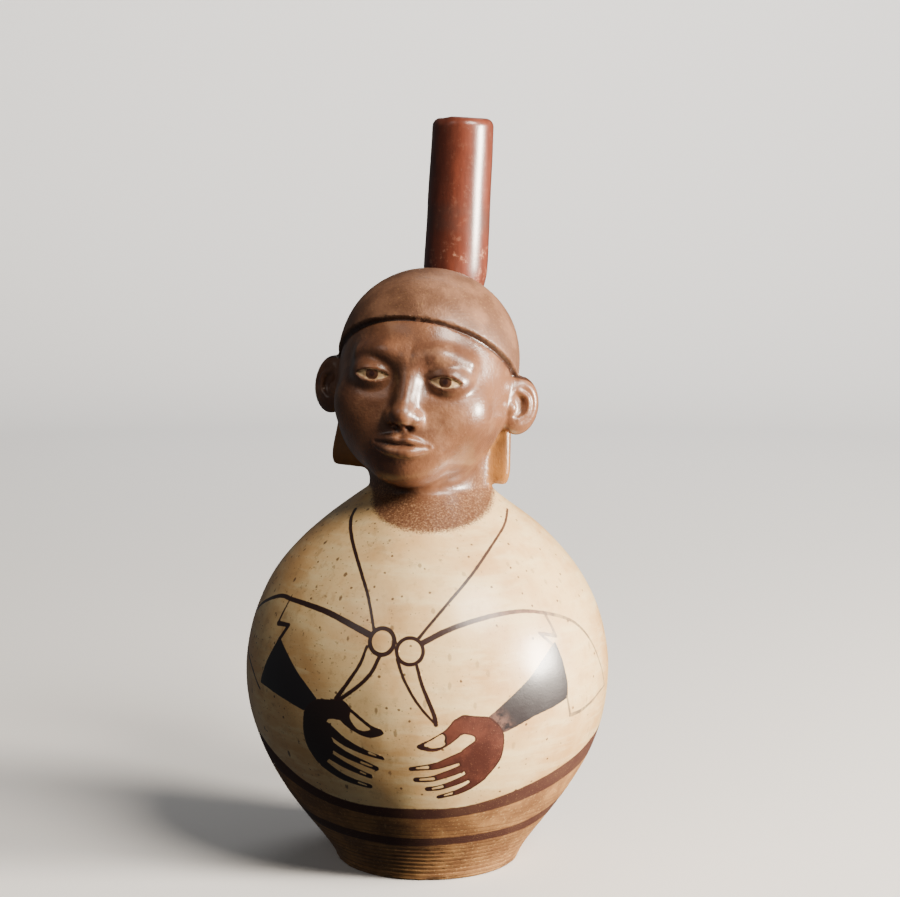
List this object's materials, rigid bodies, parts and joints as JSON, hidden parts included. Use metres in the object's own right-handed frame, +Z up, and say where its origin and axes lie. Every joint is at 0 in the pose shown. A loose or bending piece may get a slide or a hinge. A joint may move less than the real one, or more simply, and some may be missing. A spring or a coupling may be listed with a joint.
{
  "type": "stirrup spout vessel",
  "caption": "Hollow fired clay bottle: globular body on a flat foot, effigy head in a cap with a nape flap, and a stirrup spout behind the head.",
  "frame": {"origin": "centre of the foot's flat underside", "axes": "+Z up through the neck, -Y towards the front where the face looks, +X to the right of a viewer who faces it"},
  "size_m": [0.149, 0.17, 0.3054],
  "materials": {
    "painted_clay": "burnished slip, cream above and tan below, with dark painted lines"
  },
  "bodies": {
    "root": {"vessel": "painted_clay"}
  },
  "joints": []
}
